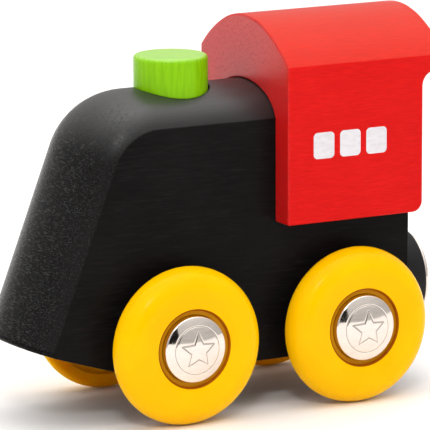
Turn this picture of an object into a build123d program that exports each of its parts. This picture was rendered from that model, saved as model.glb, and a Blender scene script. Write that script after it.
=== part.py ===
from build123d import *
import os
from math import atan, cos, degrees, hypot, sin, sqrt

# Toy train locomotive for wooden railway track, in millimetres.
# +X points forward (nose), +Y to the driver's left, +Z up. z = 0 is the surface under the wheels,
# and x = y = 0 is the middle of the whole object.

# Running gear
wheel_radius = 10.8
wheel_base = 26.2
rear_axle_x = -16.33
front_axle_x = rear_axle_x + wheel_base
axle_radius = 1.5
axle_half_length = 14.0
wheel_bore_radius = 1.56
boss_radius = 3.0
boss_y = 8.95
hub_radius = 6.6
hub_y = 10.4
pocket_radius = 8.8
pocket_floor_y = 12.4
rim_inner_y = 10.92
rim_inner_round = 1.0
tread_y = rim_inner_y + rim_inner_round
face_round = 2.97
face_y = tread_y + face_round
recess_radius = 5.37
recess_lip_y = 14.5
recess_lip_round = 0.35
recess_floor_y = 13.9
well_radius = 4.8
well_floor_y = 11.9

# Hub caps and the spring washers in them
cap_radius = 4.5
cap_skirt_y = 12.2
cap_shoulder_y = 15.0
cap_dome = 0.9
cap_wall = 0.35
cap_corner_round = 0.35
washer_radius = 4.05
washer_y = 12.3
washer_thickness = 0.3
washer_slots = 6
washer_slot_width = 0.5
washer_slot_reach = 2.7

# Body block
body_width = 17.3
body_rear_x = rear_axle_x - 10.54
body_bottom_z = 6.42
body_edge_z = 39.76
body_arch_rise = 4.18
body_crown_radius = 14.0
body_haunch_y = 5.6
nose_base_x = rear_axle_x + 48.36
nose_lean = 0.387
nose_corner_radius = 6.9
chin_start_x = rear_axle_x + 32.0
chin_slope = 0.321
nose_tip_round = 0.7
body_edge_round = 0.35

# Cab
cab_width = 24.9
cab_front_x = rear_axle_x + 10.7
cab_rear_x = rear_axle_x - 10.41
cab_bottom_z = 25.56
cab_edge_z = 47.12
cab_arch_rise = 5.69
cab_crown_radius = 14.8
cab_haunch_y = 6.0
roof_rear_x = rear_axle_x - 13.86
roof_underside_z = 44.94
roof_fillet = 2.0
cab_foot_round = 1.5
cab_edge_round = 0.3
saddle_clearance = 0.05

# Funnel peg
peg_x = rear_axle_x + 21.97
peg_radius = 5.06
peg_top_z = 48.25
peg_bottom_z = 28.0
peg_top_round = 0.55
peg_foot_chamfer = 0.6
peg_hole_radius = 5.08
peg_mouth_radius = 5.26
peg_mouth_z = 42.0

# Magnet coupler at the rear
coupler_z = 13.94
screw_thread_radius = 1.0
screw_thread_length = 7.4
screw_shoulder_radius = 1.5
screw_head_radius = 2.4
screw_head_thickness = 0.9
screw_drive_radius = 0.9
screw_drive_depth = 0.5
coupler_washer_radius = 3.0
coupler_washer_thickness = 0.2
turning_gap = 0.06
housing_radius = 6.75
housing_back = 1.0
housing_cavity_radius = 5.6
housing_front_x = rear_axle_x - 14.75
housing_round = 0.4
magnet_radius = 5.52
magnet_hole_radius = 2.9
magnet_back_gap = 0.5
plate_radius = 6.1
plate_thickness = 0.7
plate_round = 0.25


def arched_section(plane, half_width, base, spring, rise, crown_radius, haunch_y):
    """A face on `plane`: a rectangle from base to spring under a three-centred arch.

    The crown is an arc of crown_radius out to haunch_y; a tangent arc on each side closes it.
    """
    haunch_z = spring + rise - crown_radius + sqrt(crown_radius**2 - haunch_y**2)
    with BuildSketch(plane) as section:
        with BuildLine():
            Polyline((half_width, spring), (half_width, base), (-half_width, base), (-half_width, spring))
            crown = ThreePointArc((-haunch_y, haunch_z), (0, spring + rise), (haunch_y, haunch_z))
            TangentArc(crown @ 1, (half_width, spring), tangent=crown % 1)
            TangentArc(crown @ 0, (-half_width, spring), tangent=-(crown % 0))
        make_face()
    return section.sketch


def outboard(x, side):
    """The plane through an axle whose local x is the radius and local y points outboard."""
    return Plane(origin=(x, 0, wheel_radius), x_dir=(1, 0, 0), z_dir=(0, 0, side))


def corner(sketch, x, y):
    """The sketch's vertex nearest to a point in its own plane."""
    return sketch.vertices().sort_by_distance((x, y))[0]


def write(piece, label):
    """Names the finished piece and writes its STEP file."""
    piece.part.label = label
    export_step(piece.part, f"parts/{label}.step")


os.makedirs("parts", exist_ok=True)

# ---- Body block -------------------------------------------------------------------------------
# The flat sides end at an edge that runs level, round the front corner and down the nose. A
# crowned band follows that edge over the whole top and front.

nose_turn = atan(1 / nose_lean)
corner_z = body_edge_z - nose_corner_radius
corner_x = nose_base_x - nose_lean * corner_z - nose_corner_radius * hypot(1, nose_lean)
slope_start_x = corner_x + nose_corner_radius * sin(nose_turn)
slope_start_z = corner_z + nose_corner_radius * cos(nose_turn)
nose_length = slope_start_z / sin(nose_turn)
chin_tip_x = chin_start_x + (slope_start_z - body_bottom_z) / chin_slope

top_plane = Plane(origin=(corner_x, 0, body_edge_z), x_dir=(0, 1, 0), z_dir=(1, 0, 0))
slope_plane = Plane(
    origin=(slope_start_x, 0, slope_start_z),
    x_dir=(0, 1, 0),
    z_dir=(cos(nose_turn), 0, -sin(nose_turn)),
)
corner_axis = Axis((corner_x, 0, corner_z), (0, 1, 0))

with BuildPart() as body_block:
    half = body_width / 2
    band = (half, -nose_corner_radius, 0, body_arch_rise, body_crown_radius, body_haunch_y)
    extrude(arched_section(top_plane, *band), amount=body_rear_x - corner_x)
    revolve(arched_section(top_plane, *band), axis=corner_axis, revolution_arc=degrees(nose_turn))
    extrude(arched_section(slope_plane, *band), amount=nose_length)
    with BuildSketch(Plane.XZ) as core:
        with BuildLine():
            Polyline(
                (body_rear_x, body_bottom_z),
                (nose_base_x - nose_lean * body_bottom_z, body_bottom_z),
                (slope_start_x, slope_start_z),
                (corner_x, corner_z),
                (corner_x, body_edge_z),
                (body_rear_x, body_edge_z),
                close=True,
            )
        make_face()
    extrude(amount=half, both=True)
    with BuildSketch(Plane.XZ) as under_cut:
        with BuildLine():
            Polyline(
                (body_rear_x - 1, body_bottom_z),
                (chin_start_x, body_bottom_z),
                (chin_tip_x, slope_start_z),
                (chin_tip_x, -wheel_radius),
                (body_rear_x - 1, -wheel_radius),
                close=True,
            )
        make_face()
    extrude(amount=body_width, both=True, mode=Mode.SUBTRACT)
    fillet(body_block.edges().filter_by(GeomType.ELLIPSE), radius=nose_tip_round)
    flat_sides = body_block.faces().filter_by(Axis.Y)
    fillet(flat_sides.edges(), radius=body_edge_round)

    with BuildSketch(Plane.XY.offset(peg_bottom_z)) as peg_hole:
        with Locations((peg_x, 0)):
            Circle(peg_hole_radius)
    extrude(amount=peg_top_z, mode=Mode.SUBTRACT)
    with BuildSketch(Plane.XY.offset(peg_mouth_z)) as peg_mouth:
        with Locations((peg_x, 0)):
            Circle(peg_mouth_radius)
    extrude(amount=peg_top_z, mode=Mode.SUBTRACT)
    with BuildSketch(Plane.XZ) as axle_bores:
        with Locations((front_axle_x, wheel_radius), (rear_axle_x, wheel_radius)):
            Circle(axle_radius)
    extrude(amount=body_width, both=True, mode=Mode.SUBTRACT)
    with BuildSketch(Plane.YZ.offset(body_rear_x)) as screw_bore:
        with Locations((0, coupler_z)):
            Circle(screw_thread_radius)
    extrude(amount=screw_thread_length + 1, mode=Mode.SUBTRACT)
write(body_block, "body_block")

# ---- Cab ----------------------------------------------------------------------------------------
with BuildPart() as cab:
    outline = (cab_width / 2, cab_bottom_z, cab_edge_z, cab_arch_rise, cab_crown_radius, cab_haunch_y)
    extrude(
        arched_section(Plane.YZ.offset(cab_front_x), *outline),
        amount=roof_rear_x - cab_front_x,
    )
    with BuildSketch(Plane.XZ) as side_view:
        with BuildLine():
            Polyline(
                (cab_front_x, cab_bottom_z),
                (cab_front_x, cab_edge_z + 2 * cab_arch_rise),
                (roof_rear_x, cab_edge_z + 2 * cab_arch_rise),
                (roof_rear_x, roof_underside_z),
                (cab_rear_x, roof_underside_z),
                (cab_rear_x, cab_bottom_z),
                close=True,
            )
        make_face()
        fillet(corner(side_view, cab_rear_x, roof_underside_z), radius=roof_fillet)
        fillet(corner(side_view, cab_rear_x, cab_bottom_z), radius=cab_foot_round)
    extrude(amount=cab_width, both=True, mode=Mode.INTERSECT)
    extrude(
        arched_section(
            Plane.YZ.offset(cab_front_x + 1),
            body_width / 2 + saddle_clearance,
            cab_bottom_z - 1,
            body_edge_z + saddle_clearance,
            body_arch_rise,
            body_crown_radius,
            body_haunch_y,
        ),
        amount=roof_rear_x - cab_front_x - 2,
        mode=Mode.SUBTRACT,
    )
    fillet(cab.edges(), radius=cab_edge_round)
write(cab, "cab")

# ---- Funnel peg ---------------------------------------------------------------------------------
with BuildPart() as funnel_peg:
    with BuildSketch(Plane.XY.offset(peg_bottom_z)) as peg_section:
        with Locations((peg_x, 0)):
            Circle(peg_radius)
    extrude(amount=peg_top_z - peg_bottom_z)
    rims = funnel_peg.edges().filter_by(GeomType.CIRCLE).sort_by(Axis.Z)
    fillet(rims[-1], radius=peg_top_round)
    chamfer(rims[0], length=peg_foot_chamfer)
write(funnel_peg, "funnel_peg")

# ---- Axles, wheels, cap washers and hub caps ------------------------------------------------------
cap_top_y = cap_shoulder_y + cap_dome
cap_dome_radius = (cap_radius**2 + cap_dome**2) / (2 * cap_dome)
inner_dome_radius = cap_dome_radius - cap_wall
cap_inner_radius = cap_radius - cap_wall
cap_inner_shoulder_y = cap_top_y - cap_dome_radius + sqrt(inner_dome_radius**2 - cap_inner_radius**2)
for end, axle_x in (("front", front_axle_x), ("rear", rear_axle_x)):
    axle_line = Axis((axle_x, 0, wheel_radius), (0, 1, 0))

    with BuildPart() as axle:
        with BuildSketch(Plane.XZ) as rod_section:
            with Locations((axle_x, wheel_radius)):
                Circle(axle_radius)
        extrude(amount=axle_half_length, both=True)
        chamfer(axle.edges().filter_by(GeomType.CIRCLE), length=0.3)
    write(axle, f"{end}_axle")

    for hand, side in (("left", 1), ("right", -1)):
        with BuildPart() as wheel:
            with BuildSketch(outboard(axle_x, side)) as wheel_profile:
                with BuildLine():
                    Polyline(
                        (recess_radius, recess_lip_y),
                        (recess_radius, recess_floor_y),
                        (well_radius, recess_floor_y),
                        (well_radius, well_floor_y),
                        (wheel_bore_radius, well_floor_y),
                        (wheel_bore_radius, boss_y),
                        (boss_radius, boss_y),
                        (boss_radius, hub_y),
                        (hub_radius, hub_y),
                        (hub_radius, pocket_floor_y),
                        (pocket_radius, pocket_floor_y),
                        (pocket_radius, rim_inner_y),
                        (wheel_radius - rim_inner_round, rim_inner_y),
                    )
                    RadiusArc(
                        (wheel_radius - rim_inner_round, rim_inner_y), (wheel_radius, tread_y), -rim_inner_round)
                    CenterArc((wheel_radius - face_round, tread_y), face_round, start_angle=0, arc_size=90)
                    TangentArc(
                        (wheel_radius - face_round, face_y), (recess_radius, recess_lip_y), tangent=(-1, 0))
                make_face()
                fillet(corner(wheel_profile, recess_radius, recess_lip_y), radius=recess_lip_round)
            revolve(axis=axle_line)
        write(wheel, f"wheel_{end}_{hand}")

        with BuildPart() as cap_washer:
            with BuildSketch(outboard(axle_x, side)) as washer_profile:
                with BuildLine():
                    Polyline(
                        (axle_radius, washer_y),
                        (washer_radius, washer_y),
                        (washer_radius, washer_y + washer_thickness),
                        (axle_radius, washer_y + washer_thickness),
                        close=True,
                    )
                make_face()
            revolve(axis=axle_line)
            slot_plane = Plane(
                origin=(axle_x, side * (washer_y - 0.5), wheel_radius), x_dir=(1, 0, 0), z_dir=(0, side, 0))
            with BuildSketch(slot_plane) as washer_slots_sketch:
                with PolarLocations(washer_slot_reach / 2, washer_slots):
                    Rectangle(washer_slot_reach, washer_slot_width)
            extrude(amount=washer_thickness + 1, mode=Mode.SUBTRACT)
        write(cap_washer, f"cap_washer_{end}_{hand}")

        with BuildPart() as hub_cap:
            with BuildSketch(outboard(axle_x, side)) as cap_profile:
                with BuildLine():
                    RadiusArc((cap_radius, cap_shoulder_y), (0, cap_top_y), -cap_dome_radius)
                    Line((0, cap_top_y), (0, cap_top_y - cap_wall))
                    RadiusArc((0, cap_top_y - cap_wall), (cap_inner_radius, cap_inner_shoulder_y), inner_dome_radius)
                    Polyline(
                        (cap_inner_radius, cap_inner_shoulder_y),
                        (cap_inner_radius, cap_skirt_y),
                        (cap_radius, cap_skirt_y),
                        (cap_radius, cap_shoulder_y),
                    )
                make_face()
                fillet(corner(cap_profile, cap_radius, cap_shoulder_y), radius=cap_corner_round)
            revolve(axis=axle_line)
        write(hub_cap, f"hub_cap_{end}_{hand}")

# ---- Magnet coupler -------------------------------------------------------------------------------
coupler_line = Axis((0, 0, coupler_z), (1, 0, 0))
coupler_plane = Plane(origin=(0, 0, coupler_z), x_dir=(1, 0, 0), z_dir=(0, -1, 0))
washer_rear_x = body_rear_x - coupler_washer_thickness
housing_back_x = washer_rear_x - turning_gap
cavity_floor_x = housing_back_x - housing_back
head_seat_x = cavity_floor_x - turning_gap
head_rear_x = head_seat_x - screw_head_thickness

with BuildPart() as coupler_screw:
    with BuildSketch(coupler_plane) as screw_profile:
        with BuildLine():
            Polyline(
                (body_rear_x + screw_thread_length, 0),
                (body_rear_x + screw_thread_length - screw_thread_radius, screw_thread_radius),
                (body_rear_x, screw_thread_radius),
                (body_rear_x, screw_shoulder_radius),
                (head_seat_x, screw_shoulder_radius),
                (head_seat_x, screw_head_radius),
                (head_rear_x, screw_head_radius),
                (head_rear_x, 0),
                close=True,
            )
        make_face()
    revolve(axis=coupler_line)
    with BuildSketch(Plane.YZ.offset(head_rear_x)) as drive:
        with Locations((0, coupler_z)):
            RegularPolygon(screw_drive_radius, 6)
    extrude(amount=screw_drive_depth, mode=Mode.SUBTRACT)
write(coupler_screw, "coupler_screw")

with BuildPart() as coupler_washer:
    with BuildSketch(Plane.YZ.offset(washer_rear_x)) as coupler_washer_section:
        with Locations((0, coupler_z)):
            Circle(coupler_washer_radius)
            Circle(wheel_bore_radius, mode=Mode.SUBTRACT)
    extrude(amount=coupler_washer_thickness)
write(coupler_washer, "coupler_washer")

with BuildPart() as coupler_housing:
    with BuildSketch(coupler_plane) as housing_profile:
        with BuildLine():
            Polyline(
                (housing_back_x, wheel_bore_radius),
                (housing_back_x, housing_radius),
                (housing_front_x, housing_radius),
                (housing_front_x, housing_cavity_radius),
                (cavity_floor_x, housing_cavity_radius),
                (cavity_floor_x, wheel_bore_radius),
                close=True,
            )
        make_face()
        fillet(corner(housing_profile, housing_back_x, housing_radius), radius=housing_round)
        fillet(corner(housing_profile, housing_front_x, housing_radius), radius=housing_round)
    revolve(axis=coupler_line)
write(coupler_housing, "coupler_housing")

with BuildPart() as coupler_magnet:
    with BuildSketch(Plane.YZ.offset(housing_front_x)) as magnet_section:
        with Locations((0, coupler_z)):
            Circle(magnet_radius)
            Circle(magnet_hole_radius, mode=Mode.SUBTRACT)
    extrude(amount=cavity_floor_x - magnet_back_gap - housing_front_x)
write(coupler_magnet, "coupler_magnet")

with BuildPart() as coupler_plate:
    with BuildSketch(Plane.YZ.offset(housing_front_x)) as plate_section:
        with Locations((0, coupler_z)):
            Circle(plate_radius)
    extrude(amount=-plate_thickness)
    fillet(coupler_plate.edges().sort_by(Axis.X)[0], radius=plate_round)
write(coupler_plate, "coupler_plate")
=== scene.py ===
import math

import bmesh
import bpy
from mathutils import Matrix, Vector


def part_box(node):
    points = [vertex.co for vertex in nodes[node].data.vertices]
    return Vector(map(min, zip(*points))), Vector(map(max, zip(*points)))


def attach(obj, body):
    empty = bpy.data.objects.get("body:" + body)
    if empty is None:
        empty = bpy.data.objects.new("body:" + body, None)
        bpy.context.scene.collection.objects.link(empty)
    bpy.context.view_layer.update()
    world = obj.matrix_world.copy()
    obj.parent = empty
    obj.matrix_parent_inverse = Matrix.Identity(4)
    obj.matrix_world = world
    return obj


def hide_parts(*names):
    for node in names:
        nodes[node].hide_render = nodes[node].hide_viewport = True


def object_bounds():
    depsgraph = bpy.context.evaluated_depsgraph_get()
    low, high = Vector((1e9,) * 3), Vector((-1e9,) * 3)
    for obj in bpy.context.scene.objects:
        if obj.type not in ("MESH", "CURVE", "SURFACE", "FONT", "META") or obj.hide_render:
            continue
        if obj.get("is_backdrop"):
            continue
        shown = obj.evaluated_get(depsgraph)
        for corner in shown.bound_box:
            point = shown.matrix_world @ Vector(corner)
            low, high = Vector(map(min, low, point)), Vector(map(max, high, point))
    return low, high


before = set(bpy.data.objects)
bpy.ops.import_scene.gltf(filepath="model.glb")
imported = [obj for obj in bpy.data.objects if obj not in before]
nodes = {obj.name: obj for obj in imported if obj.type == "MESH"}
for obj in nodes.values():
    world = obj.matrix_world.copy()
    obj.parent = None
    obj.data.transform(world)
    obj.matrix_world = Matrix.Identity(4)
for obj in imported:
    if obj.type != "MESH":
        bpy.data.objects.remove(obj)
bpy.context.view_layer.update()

MM = 0.001
CREASE = math.radians(40)
ENDS = ("front", "rear")
HANDS = (("left", 1), ("right", -1))


# ---- Mesh helpers ---------------------------------------------------------------------------------

def add_mesh(name, build):
    """A new mesh object, filled in by build(bm)."""
    mesh = bpy.data.meshes.new(name)
    bm = bmesh.new()
    build(bm)
    bmesh.ops.recalc_face_normals(bm, faces=bm.faces)
    bm.to_mesh(mesh)
    bm.free()
    piece = bpy.data.objects.new(name, mesh)
    bpy.context.scene.collection.objects.link(piece)
    return piece


def smooth(piece):
    """Smooth shading, with edges sharper than CREASE kept crisp."""
    bm = bmesh.new()
    bm.from_mesh(piece.data)
    for face in bm.faces:
        face.smooth = True
    for edge in bm.edges:
        edge.smooth = len(edge.link_faces) == 2 and edge.calc_face_angle(0) < CREASE
    bm.to_mesh(piece.data)
    bm.free()


def arc(centre, radius, start, end, steps):
    """Points along a circular arc, with angles in degrees."""
    points = []
    for i in range(steps + 1):
        angle = math.radians(start + (end - start) * i / steps)
        points.append((centre[0] + radius * math.cos(angle), centre[1] + radius * math.sin(angle)))
    return points


def turned(name, profile, axle, side):
    """A turned part: a closed profile of (radius, outboard) points, spun about an axle along Y."""
    segments = 160

    def build(bm):
        rings = []
        for i in range(segments):
            angle = 2 * math.pi * i / segments
            c, s = math.cos(angle), math.sin(angle)
            rings.append([bm.verts.new((axle.x + r * c, side * y, axle.z + r * s)) for r, y in profile])
        for i, ring in enumerate(rings):
            after = rings[(i + 1) % segments]
            for j in range(len(profile)):
                k = (j + 1) % len(profile)
                bm.faces.new((ring[j], ring[k], after[k], after[j]))
    return add_mesh(name, build)


# ---- Material helpers -----------------------------------------------------------------------------

class Paint:
    """A node material under construction: short calls for the nodes that every finish uses."""

    def __init__(self, name):
        self.material = bpy.data.materials.new(name)
        self.material.use_nodes = True
        self.tree = self.material.node_tree
        self.tree.nodes.clear()
        self.shader = self.node("ShaderNodeBsdfPrincipled")
        output = self.node("ShaderNodeOutputMaterial")
        self.link(self.shader.outputs["BSDF"], output.inputs["Surface"])
        self.place = self.node("ShaderNodeTexCoord").outputs["Object"]

    def node(self, kind, **settings):
        """A new node with these settings."""
        made = self.tree.nodes.new(kind)
        for key, value in settings.items():
            setattr(made, key, value)
        return made

    def link(self, source, target):
        """A wire from one socket to another."""
        self.tree.links.new(source, target)

    def feed(self, name, source):
        """A wire to one of the shader's inputs."""
        self.link(source, self.shader.inputs[name])

    def set(self, **values):
        """Plain values for the shader's inputs, with _ for each space in a name."""
        for key, value in values.items():
            self.shader.inputs[key.replace("_", " ")].default_value = value

    def noise(self, scale, detail=3.0, roughness=0.55, distortion=0.0):
        """Noise with this many cells per metre along each axis of the object."""
        mapping = self.node("ShaderNodeMapping")
        mapping.inputs["Scale"].default_value = scale
        self.link(self.place, mapping.inputs["Vector"])
        made = self.node("ShaderNodeTexNoise")
        self.link(mapping.outputs["Vector"], made.inputs["Vector"])
        made.inputs["Scale"].default_value = 1.0
        made.inputs["Detail"].default_value = detail
        made.inputs["Roughness"].default_value = roughness
        made.inputs["Distortion"].default_value = distortion
        return made.outputs["Fac"]

    def ramp(self, factor, *stops):
        """Colours blended through stops of (position, colour)."""
        made = self.node("ShaderNodeValToRGB")
        elements = made.color_ramp.elements
        while len(elements) < len(stops):
            elements.new(0.5)
        for element, (position, colour) in zip(elements, stops):
            element.position = position
            element.color = (*colour, 1)
        self.link(factor, made.inputs["Fac"])
        return made.outputs["Color"]

    def calc(self, operation, first, second=0.0):
        """The result of a Math node on two numbers or sockets."""
        made = self.node("ShaderNodeMath", operation=operation)
        for socket, value in zip(made.inputs, (first, second)):
            if isinstance(value, (int, float)):
                socket.default_value = value
            else:
                self.link(value, socket)
        return made.outputs["Value"]

    def remap(self, value, low, high, to_low, to_high):
        """A value from low to high, clamped and rescaled to run from to_low to to_high."""
        made = self.node("ShaderNodeMapRange")
        for socket, number in zip(made.inputs[1:5], (low, high, to_low, to_high)):
            socket.default_value = number
        self.link(value, made.inputs[0])
        return made.outputs[0]

    def mix(self, factor, first, second):
        """The first colour turned into the second by the factor."""
        made = self.node("ShaderNodeMix", data_type="RGBA")
        colours = [socket for socket in made.inputs if socket.type == "RGBA"]
        for socket, value in zip((made.inputs[0], *colours), (factor, first, second)):
            if isinstance(value, tuple):
                socket.default_value = (*value, 1)
            else:
                self.link(value, socket)
        return next(socket for socket in made.outputs if socket.type == "RGBA")

    def bump(self, height, strength, distance):
        """Relief from a height, fed to the shader."""
        made = self.node("ShaderNodeBump")
        made.inputs["Strength"].default_value = strength
        made.inputs["Distance"].default_value = distance
        self.link(height, made.inputs["Height"])
        self.feed("Normal", made.outputs["Normal"])

    def facing(self, axis):
        """The surface normal along one axis of the object, from -1 to 1."""
        split = self.node("ShaderNodeSeparateXYZ")
        self.link(self.node("ShaderNodeTexCoord").outputs["Normal"], split.inputs[0])
        return split.outputs[axis]

    def edge_mask(self, radius):
        """1 along convex and concave edges, 0 on flat stretches."""
        bevel = self.node("ShaderNodeBevel", samples=4)
        bevel.inputs["Radius"].default_value = radius
        dot = self.node("ShaderNodeVectorMath", operation="DOT_PRODUCT")
        self.link(bevel.outputs[0], dot.inputs[0])
        self.link(self.node("ShaderNodeNewGeometry").outputs["Normal"], dot.inputs[1])
        return self.remap(dot.outputs["Value"], 1.0, 0.9, 0.0, 1.0)


# How far from each edge and crease the edge tone reaches: painted shade on the black wood, a lighter tone
# on the red and green.
EDGE_TONE_REACH = 0.35 * MM
WOOD_RELIEF = 0.12 * MM


def painted_wood(name, colour, shade, light, painted_top_light, fleck, grain_scale, fleck_scale, rough, sheen, bumps,
                 edge_tone, edge_weight):
    """Stained and lacquered wood.

    The fibres lie along the low-frequency axis of grain_scale, in tones from shade through colour
    to light. Faces across the X axis are end grain, with open pores of the tone fleck; on the black
    wood that pale fleck is a painted glint, light caught on the pores' edges. Upward faces lean
    towards the top tone, a painted highlight for the stronger light from above. rough is the
    roughness, sheen the specular level of (sides, ends, top), and bumps the relief of (fibres,
    pores). Edges and creases take the tone edge_tone and lose their gloss, as far as edge_weight
    says; on the black wood that near-black edge tone is painted shade.
    """
    paint = Paint(name)
    fibres = paint.noise(grain_scale, detail=4.0, roughness=0.6)
    bands = paint.noise(tuple(s * 0.12 for s in grain_scale), detail=2.0, distortion=0.4)
    cloud = paint.noise((90, 90, 90), detail=2.0)
    pores = paint.noise(fleck_scale, detail=5.0, roughness=0.75)
    end_grain = paint.calc("POWER", paint.calc("ABSOLUTE", paint.facing("X")), 1.5)
    facing_up = paint.calc("MAXIMUM", paint.facing("Z"), 0.0)
    open_pores = paint.calc("MULTIPLY", paint.remap(pores, 0.55, 0.68, 0.0, 1.0), end_grain)
    edges = paint.calc("MULTIPLY", paint.edge_mask(EDGE_TONE_REACH), edge_weight)

    tone = paint.ramp(fibres, (0.3, shade), (0.55, colour), (0.8, light))
    tone = paint.mix(paint.remap(bands, 0.35, 0.7, 0.0, 0.35), tone, shade)
    tone = paint.mix(paint.remap(cloud, 0.3, 0.7, 0.0, 0.2), tone, light)
    # Painted highlight: upward faces drawn towards the top tone, for the stronger light from above.
    tone = paint.mix(paint.calc("MULTIPLY", paint.calc("POWER", facing_up, 2.0), 0.45), tone, painted_top_light)
    # Open pores take the fleck tone; on the black wood the pale fleck is a painted glint of light on the
    # pores' edges.
    tone = paint.mix(open_pores, tone, fleck)
    # Edges and creases take the edge tone: painted shade on the black wood, a lighter tone on the red and
    # green.
    tone = paint.mix(edges, tone, edge_tone)
    paint.feed("Base Color", tone)

    side, end, top = sheen
    gloss = paint.calc("ADD", paint.calc("MULTIPLY", end_grain, end - side), side)
    gloss = paint.calc("ADD", gloss, paint.calc("MULTIPLY", facing_up, top - side))
    gloss = paint.calc("MULTIPLY", paint.calc("MAXIMUM", gloss, 0.02), paint.calc("SUBTRACT", 1.0, edges))
    paint.feed("Specular IOR Level", gloss)

    roughness = paint.remap(fibres, 0.3, 0.7, rough - 0.06, rough + 0.08)
    smoother_ends = paint.calc("MULTIPLY", end_grain, -0.16)
    paint.feed("Roughness", paint.calc("ADD", roughness, smoother_ends))

    fibre_relief, pore_relief = bumps
    relief = paint.calc("ADD", paint.calc("MULTIPLY", fibres, fibre_relief),
                        paint.calc("MULTIPLY", open_pores, pore_relief))
    paint.bump(relief, 1.0, WOOD_RELIEF)
    return paint.material


def moulded_yellow(name, dark, bright, glow=0.15, depth=0.8 * MM):
    """Glossy, slightly translucent plastic. glow is how much light goes through, depth how far."""
    paint = Paint(name)
    cloud = paint.noise((110, 110, 110), detail=2.0)
    scuffs = paint.noise((900, 900, 900))
    fine = paint.noise((2600, 2600, 2600), detail=2.0)
    paint.feed("Base Color", paint.ramp(cloud, (0.35, dark), (0.65, bright)))
    paint.feed("Roughness", paint.remap(scuffs, 0.35, 0.7, 0.14, 0.24))
    paint.set(Specular_IOR_Level=0.05, Subsurface_Weight=glow, Subsurface_Scale=depth,
              Subsurface_Radius=(1.0, 0.5, 0.05))
    paint.bump(fine, 0.05, 0.02 * MM)
    return paint.material


def bright_steel(name, tint, low, high, line_scale):
    """Plated or drawn steel, its roughness from low to high, with fine lines along the
    low-frequency axes of line_scale."""
    paint = Paint(name)
    lines = paint.noise(line_scale, roughness=0.6)
    smear = paint.noise((500, 500, 500))
    paint.feed("Base Color", paint.ramp(lines, (0.3, tuple(c * 0.9 for c in tint)), (0.7, tint)))
    paint.feed("Roughness", paint.remap(smear, 0.35, 0.7, low, high))
    paint.set(Metallic=1.0)
    paint.bump(lines, 0.08, 0.01 * MM)
    return paint.material


def dark_moulding(name, colour, low, high, grain, bump):
    """Black moulded plastic or sintered ferrite, its roughness from low to high, with a fine
    surface grain."""
    paint = Paint(name)
    fine = paint.noise((grain, grain, grain))
    cloud = paint.noise((300, 300, 300), detail=2.0)
    darker, lighter = tuple(c * 0.8 for c in colour), tuple(c * 1.25 for c in colour)
    paint.feed("Base Color", paint.ramp(cloud, (0.35, darker), (0.7, lighter)))
    paint.feed("Roughness", paint.remap(fine, 0.3, 0.7, low, high))
    paint.set(Specular_IOR_Level=0.15)
    paint.bump(fine, bump, 0.03 * MM)
    return paint.material


def white_ink():
    """Printed white, slightly patchy where the wood's fibres show through."""
    paint = Paint("white_ink")
    patches = paint.noise((900, 2600, 2600), detail=4.0)
    paint.feed("Base Color", paint.ramp(patches, (0.3, (0.64, 0.61, 0.64)), (0.6, (0.73, 0.70, 0.73))))
    paint.feed("Roughness", paint.remap(patches, 0.3, 0.7, 0.35, 0.5))
    return paint.material


# ---- Finishes -------------------------------------------------------------------------------------

# The black wood's pale fleck is a painted glint on the end grain's pores, its near-black edge tone is
# painted shade, and its top tone is a painted highlight from above.
black_wood = painted_wood(
    "black_stained_wood", colour=(0.0055, 0.005, 0.005), shade=(0.003, 0.0026, 0.0026),
    light=(0.014, 0.013, 0.013), painted_top_light=(0.026, 0.025, 0.025), fleck=(0.10, 0.10, 0.10),
    grain_scale=(400, 4800, 4800), fleck_scale=(5200, 850, 5200), rough=0.38, sheen=(0.05, -0.2, 0.85),
    bumps=(0.2, 0.9), edge_tone=(0.001, 0.001, 0.001), edge_weight=0.9)
# The red wood's paler, more orange top tone is a painted highlight on the roof from the light above.
red_wood = painted_wood(
    "red_lacquered_wood", colour=(0.64, 0.003, 0.002), shade=(0.54, 0.001, 0.001),
    light=(0.74, 0.010, 0.007), painted_top_light=(0.62, 0.045, 0.005), fleck=(0.52, 0.003, 0.003),
    grain_scale=(500, 5200, 6500), fleck_scale=(4800, 5600, 2400), rough=0.34, sheen=(0.11, 0.45, 0.22),
    bumps=(0.35, 0.9), edge_tone=(0.76, 0.012, 0.008), edge_weight=0.3)
# The green dowel's paler top tone is a painted highlight on its top face.
green_wood = painted_wood(
    "green_lacquered_dowel", colour=(0.24, 0.57, 0.003), shade=(0.195, 0.48, 0.002),
    light=(0.30, 0.64, 0.008), painted_top_light=(0.44, 0.72, 0.14), fleck=(0.26, 0.60, 0.005),
    grain_scale=(2200, 2200, 220), fleck_scale=(2200, 2200, 220), rough=0.33, sheen=(0.1, 0.1, 0.9),
    bumps=(0.12, 0.0), edge_tone=(0.32, 0.66, 0.01), edge_weight=0.3)

yellow = moulded_yellow("yellow_gloss_plastic", (0.95, 0.50, 0.0), (0.97, 0.54, 0.0005))
# Painted shade: darker copies of the yellow, deep orange inside the recess and darker still on the recess's
# lip.
painted_recess_shade = moulded_yellow("yellow_plastic_painted_recess_shade", (0.52, 0.21, 0.003), (0.60, 0.26, 0.005))
painted_lip_shade = moulded_yellow("yellow_plastic_painted_lip_shade", (0.30, 0.06, 0.001), (0.37, 0.085, 0.001))
# Painted shade: a more orange copy of the yellow on the side next to the body, which also lets more light
# through the plastic.
shaded = moulded_yellow("yellow_plastic_painted_inner_side_shade", (0.98, 0.36, 0.0), (1.0, 0.41, 0.0005),
                        glow=0.8, depth=3.0 * MM)
# The plate's warm tint is nickel's own colour, made warmer still as a painted reflection of the yellow
# wheels and wood around the hub caps.
plate_and_warm_reflection = bright_steel("nickel_plate_and_warm_reflection", (0.83, 0.75, 0.68), 0.05, 0.14, (700, 700, 2400))
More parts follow.
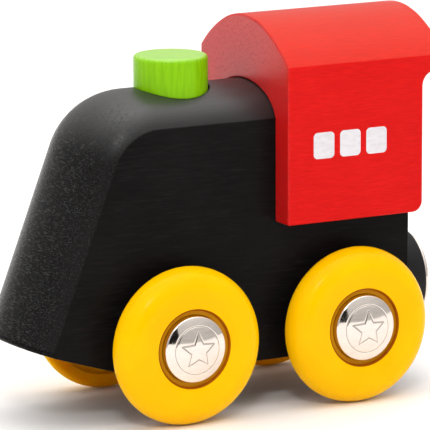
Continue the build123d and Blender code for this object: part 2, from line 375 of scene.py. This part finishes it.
# Painted shade: darker, rougher metal along the hub caps' stamped lines.
stamped = bright_steel("nickel_painted_groove_shade", (0.42, 0.37, 0.33), 0.25, 0.4, (700, 700, 2400))
drawn = bright_steel("drawn_steel", (0.62, 0.61, 0.60), 0.25, 0.4, (2600, 300, 2600))
black_plastic = dark_moulding("black_plastic", (0.012, 0.012, 0.013), 0.32, 0.45, 1500, 0.1)
ferrite = dark_moulding("ferrite", (0.03, 0.03, 0.032), 0.5, 0.7, 2500, 0.4)
ink = white_ink()


def finish_with(piece, *materials):
    """Gives a piece these materials, in this order, and no others."""
    piece.data.materials.clear()
    for material in materials:
        piece.data.materials.append(material)


cad_finishes = {
    "body_block": black_wood,
    "cab": red_wood,
    "funnel_peg": green_wood,
    "front_axle": drawn,
    "rear_axle": drawn,
    "coupler_screw": drawn,
    "coupler_washer": drawn,
    "coupler_housing": black_plastic,
    "coupler_magnet": ferrite,
    "coupler_plate": plate_and_warm_reflection,
}
for node_name, material in cad_finishes.items():
    finish_with(nodes[node_name], material)
for end in ENDS:
    for hand, _ in HANDS:
        finish_with(nodes[f"cap_washer_{end}_{hand}"], drawn)


# ---- Wheels ---------------------------------------------------------------------------------------

RECESS_RADIUS = 5.2 * MM
LIP_ROUND = 0.35 * MM
LIP_DROP = 0.39 * MM  # from the face's crown down to the lip
INNER_SIDE = 2.5 * MM  # how far outboard the side next to the body reaches, which takes the painted shade


def wheel_profile(radius, inner, outer):
    """The wheel's section as (radius, outboard) points, from the bore outwards and round.

    Next to the body it has a boss, a web sunk behind the boss, and a hollow between the wall of
    the recess and the rim. The rim is rounded on both sides of its crest, the face is dished
    towards the recess's lip, and the recess has a well for the hub cap.
    """
    bore = 1.56 * MM
    boss = 3.0 * MM
    wall = 6.6 * MM
    rim = 8.8 * MM
    well = 4.58 * MM
    chamfer = 0.2 * MM
    corner = 0.1 * MM
    inner_round = 1.0 * MM
    web = inner + 1.45 * MM
    crest = inner + 2.97 * MM
    well_floor = inner + 2.95 * MM
    hollow_floor = inner + 3.4 * MM
    recess_floor = inner + 5.1 * MM

    points = [(bore, inner), (boss - chamfer, inner), (boss, inner + chamfer), (boss, web)]
    points += [(wall - corner, web), (wall, web + corner), (wall, hollow_floor), (rim, hollow_floor)]
    points += arc((rim + chamfer, crest - inner_round + chamfer), chamfer, 180, 270, 4)
    points += arc((radius - inner_round, crest), inner_round, -90, 0, 12)

    face_round = outer - crest
    crown = radius - face_round
    points += arc((crown, crest), face_round, 0, 90, 28)[1:]

    reach = crown - RECESS_RADIUS
    dish = (reach ** 2 + LIP_DROP ** 2) / (2 * LIP_DROP)
    lip_y = outer - dish + math.sqrt((dish - LIP_ROUND) ** 2 - (reach - LIP_ROUND) ** 2)
    turn = 90 + math.degrees(math.asin((reach - LIP_ROUND) / (dish - LIP_ROUND)))
    points += arc((crown, outer - dish), dish, 90, turn, 8)[1:]
    points += arc((RECESS_RADIUS + LIP_ROUND, lip_y), LIP_ROUND, turn, 180, 8)[1:]

    points += arc((RECESS_RADIUS - corner, recess_floor + corner), corner, 0, -90, 6)
    points += [(well + corner, recess_floor), (well, recess_floor - corner)]
    points += [(well, well_floor), (bore, well_floor)]
    return points


def wheel_material(face, axle, inner):
    """0 for the plain plastic, 1 for painted shade inside the recess, 2 for darker painted shade on its
    lip, 3 for painted shade on the side next to the body.
    """
    lip_start = RECESS_RADIUS + 0.02 * LIP_ROUND
    lip_end = RECESS_RADIUS + 0.8 * LIP_ROUND
    reach = math.hypot(face.center.x - axle.x, face.center.z - axle.z)
    if abs(face.center.y) - inner < INNER_SIDE:
        return 3
    if reach > lip_end:
        return 0
    return 1 if reach < lip_start else 2


for end in ENDS:
    for hand, side in HANDS:
        node_name = f"wheel_{end}_{hand}"
        low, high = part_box(node_name)
        axle = (low + high) / 2
        radius = (high.x - low.x) / 2
        inner, outer = sorted((abs(low.y), abs(high.y)))
        wheel = turned(f"moulded_{node_name}", wheel_profile(radius, inner, outer), axle, side)
        smooth(wheel)
        finish_with(wheel, yellow, painted_recess_shade, painted_lip_shade, shaded)
        for face in wheel.data.polygons:
            face.material_index = wheel_material(face, axle, inner)
        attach(wheel, node_name)
        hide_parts(node_name)


# ---- Hub caps -------------------------------------------------------------------------------------

STAR_POINTS = 5
STAR_RADIUS = 2.5 * MM
STAR_WAIST = 1.15 * MM  # radius of the star's inner corners
RING_RADIUS = 3.3 * MM
STAMP_WIDTH = 0.09 * MM
STAMP_DEPTH = 0.05 * MM
GROOVE_SHADE_WIDTH = 0.055 * MM  # half the width of the painted shade, darker metal, along a stamped line
CAP_FACE_DEPTH = 1.0 * MM  # how far below its top the cap's stamped face reaches
CAP_GROWTH = 0.05 * MM  # how much larger in radius the cap is than its CAD node


def star_corners():
    """The corners of the stamped star, in turn from its top point."""
    corners = []
    for i in range(2 * STAR_POINTS):
        reach = STAR_WAIST if i % 2 else STAR_RADIUS
        angle = math.radians(90 + 180 * i / STAR_POINTS)
        corners.append((reach * math.cos(angle), reach * math.sin(angle)))
    return corners


STAR = star_corners()


def line_distance(u, v, start, finish):
    """Distance from a point to a straight line between two others."""
    (ax, ay), (bx, by) = start, finish
    dx, dy = bx - ax, by - ay
    along = max(0.0, min(1.0, ((u - ax) * dx + (v - ay) * dy) / (dx * dx + dy * dy)))
    return math.hypot(u - ax - along * dx, v - ay - along * dy)


def stamp_distance(u, v):
    """Distance from a point to the nearest stamped line: a star in a ring."""
    to_star = min(line_distance(u, v, start, finish) for start, finish in zip(STAR, STAR[1:] + STAR[:1]))
    return min(to_star, abs(math.hypot(u, v) - RING_RADIUS))


def cap_height(u, v, cap_radius, dome):
    """How far the cap's face stands above its shoulder."""
    line = stamp_distance(u, v) / STAMP_WIDTH
    return dome * (1 - (u * u + v * v) / cap_radius ** 2) - STAMP_DEPTH * math.exp(-line * line)


def hub_cap(name, axle, side, low_y, high_y, cap_radius):
    """A pressed cap: a stamped, domed face with a rounded corner, and a wall down to low_y."""
    dome = 1.05 * MM
    corner = 0.35 * MM
    wall = 0.35 * MM
    corner_start = 68  # degrees: where the domed face runs into the corner's arc
    rings, spokes = 96, 288
    shoulder = high_y - dome
    inside = high_y - 2 * wall
    face_radius = cap_radius - corner * (1 - math.cos(math.radians(corner_start)))

    def build(bm):
        angles = [2 * math.pi * i / spokes for i in range(spokes)]

        def vert(r, angle, y):
            return bm.verts.new((axle.x + r * math.cos(angle), side * y, axle.z + r * math.sin(angle)))

        def face_vert(r, angle):
            height = cap_height(r * math.cos(angle), r * math.sin(angle), cap_radius, dome)
            return vert(r, angle, shoulder + height)

        loops = [[face_vert(face_radius * j / rings, a) for a in angles] for j in range(1, rings + 1)]
        edge_y = shoulder + dome * (1 - (face_radius / cap_radius) ** 2)
        centre = (cap_radius - corner, edge_y - corner * math.sin(math.radians(corner_start)))
        section = arc(centre, corner, corner_start, 0, 8)[1:]
        section += [(cap_radius, low_y), (cap_radius - wall, low_y), (cap_radius - wall, shoulder - wall)]
        section += [(0.6 * cap_radius, inside), (0.3 * cap_radius, inside)]
        loops += [[vert(r, a, y) for a in angles] for r, y in section]
        top = face_vert(0, 0)
        bottom = vert(0, 0, inside)
        for i in range(spokes):
            k = (i + 1) % spokes
            for first, second in zip(loops, loops[1:]):
                bm.faces.new((first[i], first[k], second[k], second[i]))
            bm.faces.new((top, loops[0][i], loops[0][k]))
            bm.faces.new((bottom, loops[-1][k], loops[-1][i]))
    return add_mesh(name, build)


for end in ENDS:
    for hand, side in HANDS:
        node_name = f"hub_cap_{end}_{hand}"
        low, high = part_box(node_name)
        axle = (low + high) / 2
        cap_radius = (high.x - low.x) / 2 + CAP_GROWTH
        low_y, high_y = sorted((abs(low.y), abs(high.y)))
        cap = hub_cap(f"stamped_{node_name}", axle, side, low_y, high_y, cap_radius)
        smooth(cap)
        finish_with(cap, plate_and_warm_reflection, stamped)
        for face in cap.data.polygons:
            u, v = face.center.x - axle.x, face.center.z - axle.z
            # Faces along the stamped lines take the painted shade.
            if abs(face.center.y) > high_y - CAP_FACE_DEPTH and stamp_distance(u, v) < GROOVE_SHADE_WIDTH:
                face.material_index = 1
        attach(cap, "chassis")
        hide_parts(node_name)


# ---- Printed windows on the cab's flanks ----------------------------------------------------------

PRINT_ABOVE = 10.6 * MM  # the row's centre above the cab's lowest edge
PRINT_BEHIND = 9.6 * MM  # the row's centre behind the cab's front
WINDOW_PITCH = 4.1 * MM
WINDOW_HALF_WIDTH = 1.6 * MM
WINDOW_HALF_HEIGHT = 1.8 * MM
WINDOW_CORNER = 0.6 * MM
INK_SUNK = 0.05 * MM
INK_PROUD = 0.02 * MM


def window(bm, centre_x, centre_z, near_y, far_y):
    """A thin plate with rounded corners, in a plane of constant y."""
    corner_x = WINDOW_HALF_WIDTH - WINDOW_CORNER
    corner_z = WINDOW_HALF_HEIGHT - WINDOW_CORNER
    outline = []
    for quarter, (sx, sz) in enumerate(((1, 1), (-1, 1), (-1, -1), (1, -1))):
        middle = (centre_x + sx * corner_x, centre_z + sz * corner_z)
        outline += arc(middle, WINDOW_CORNER, 90 * quarter, 90 * quarter + 90, 8)
    near = [bm.verts.new((x, near_y, z)) for x, z in outline]
    far = [bm.verts.new((x, far_y, z)) for x, z in outline]
    bm.faces.new(near)
    bm.faces.new(list(reversed(far)))
    for i in range(len(outline)):
        k = (i + 1) % len(outline)
        bm.faces.new((near[i], far[i], far[k], near[k]))


def window_row(name, side):
    """Three windows in a row on one flank of the cab."""
    cab_low, cab_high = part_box("cab")
    flank = side * cab_high.y

    def build(bm):
        for step in (-1, 0, 1):
            window(bm, cab_high.x - PRINT_BEHIND + step * WINDOW_PITCH, cab_low.z + PRINT_ABOVE,
                   flank - side * INK_SUNK, flank + side * INK_PROUD)
    return add_mesh(name, build)


for hand, side in HANDS:
    windows = window_row(f"window_print_{hand}", side)
    finish_with(windows, ink)
    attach(windows, "chassis")


# ---- Floor, light and camera ----------------------------------------------------------------------

AZIMUTH, ELEVATION, ROLL = 151.68, 11.47, -0.21  # degrees
DISTANCE = 551.2 * MM
AIM = Vector((-1.12 * MM, -0.03 * MM, 25.38 * MM))
SENSOR_WIDTH, FOCAL_LENGTH = 36, 337.2  # millimetres, as Blender's cameras take them
FLOOR_HALF = 5.0


def pale_floor():
    """Off-white paper, very slightly uneven."""
    paint = Paint("pale_floor")
    cloud = paint.noise((12, 12, 12), detail=2.0)
    paint.feed("Base Color", paint.ramp(cloud, (0.3, (0.95, 0.94, 0.93)), (0.7, (0.965, 0.955, 0.945))))
    paint.set(Roughness=0.55, Specular_IOR_Level=0.3)
    return paint.material


def build_floor(bm):
    """A square of floor, reaching FLOOR_HALF metres each way."""
    bmesh.ops.create_grid(bm, x_segments=4, y_segments=4, size=FLOOR_HALF)


floor = add_mesh("floor", build_floor)
finish_with(floor, pale_floor())
floor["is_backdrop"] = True


def studio_world():
    """A soft dome: brightest overhead, grey round the horizon, with a dark card beside the camera."""
    world = bpy.data.worlds.new("studio")
    world.use_nodes = True
    tree = world.node_tree
    tree.nodes.clear()

    def math_node(operation, first, second=0.0, third=0.0):
        """The result of a Math node on numbers or sockets."""
        made = tree.nodes.new("ShaderNodeMath")
        made.operation = operation
        for socket, value in zip(made.inputs, (first, second, third)):
            if isinstance(value, (int, float)):
                socket.default_value = value
            else:
                tree.links.new(value, socket)
        return made.outputs[0]

    def step(value, low, high):
        """0 on low's side and 1 on high's, with a smooth step between them."""
        made = tree.nodes.new("ShaderNodeMapRange")
        made.interpolation_type = "SMOOTHSTEP"
        made.inputs["From Min"].default_value = low
        made.inputs["From Max"].default_value = high
        tree.links.new(value, made.inputs["Value"])
        return made.outputs[0]

    split = tree.nodes.new("ShaderNodeSeparateXYZ")
    tree.links.new(tree.nodes.new("ShaderNodeTexCoord").outputs["Generated"], split.inputs[0])
    x, y, z = split.outputs
    horizon = math_node("MULTIPLY_ADD", step(y, -0.3, 0.9), 0.06, 0.55)
    sky = math_node("MULTIPLY_ADD", math_node("MULTIPLY", z, z), 1.1, horizon)
    zenith = math_node("POWER", math_node("MAXIMUM", z, 0.0), 8.0)
    light = math_node("MULTIPLY_ADD", zenith, 1.4, sky)
    # The card covers these directions, for the hub caps to mirror.
    card = math_node("MULTIPLY", step(x, 0.05, 0.07), step(x, 0.40, 0.38))
    card = math_node("MULTIPLY", card, math_node("MULTIPLY", step(z, -0.02, 0.0), step(z, 0.44, 0.40)))
    card = math_node("MULTIPLY", card, step(y, 0.5, 0.6))
    light = math_node("MULTIPLY", light, math_node("MULTIPLY_ADD", card, -0.98, 1.0))
    background = tree.nodes.new("ShaderNodeBackground")
    background.inputs["Color"].default_value = (1.0, 0.985, 0.975, 1)
    tree.links.new(light, background.inputs["Strength"])
    output = tree.nodes.new("ShaderNodeOutputWorld")
    tree.links.new(background.outputs[0], output.inputs["Surface"])
    bpy.context.scene.world = world


def key_light():
    """A small softbox high above the camera, for the highlights and the soft shadow."""
    light = bpy.data.lights.new("key", "AREA")
    light.shape = "RECTANGLE"
    light.size, light.size_y = 0.14, 0.14
    light.energy = 1.7
    light.color = (1.0, 0.99, 0.98)
    place, aim = Vector((0.39, 0.65, 0.66)), Vector((0, 0, 0.02))
    lamp = bpy.data.objects.new("key", light)
    lamp.location = place
    lamp.rotation_mode = "QUATERNION"
    lamp.rotation_quaternion = (aim - place).to_track_quat("-Z", "Y")
    bpy.context.scene.collection.objects.link(lamp)


def studio_camera():
    """A long lens that looks at AIM from AZIMUTH and ELEVATION, turned by ROLL."""
    azimuth, elevation, roll = (math.radians(a) for a in (AZIMUTH, ELEVATION, ROLL))
    back = Vector((math.sin(azimuth) * math.cos(elevation), -math.cos(azimuth) * math.cos(elevation),
                   math.sin(elevation)))
    level = Vector((math.cos(azimuth), math.sin(azimuth), 0))
    upright = back.cross(level)
    right = level * math.cos(roll) + upright * math.sin(roll)
    up = upright * math.cos(roll) - level * math.sin(roll)
    lens = bpy.data.cameras.new("camera")
    lens.sensor_width = SENSOR_WIDTH
    lens.lens = FOCAL_LENGTH
    lens.clip_start, lens.clip_end = 0.01, 20
    camera = bpy.data.objects.new("camera", lens)
    turned_to = Matrix((right, up, back)).transposed().to_4x4()
    camera.matrix_world = Matrix.Translation(AIM + back * DISTANCE) @ turned_to
    bpy.context.scene.collection.objects.link(camera)
    bpy.context.scene.camera = camera


studio_world()
key_light()
studio_camera()
bpy.context.scene.view_settings.view_transform = "Standard"

low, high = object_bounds()
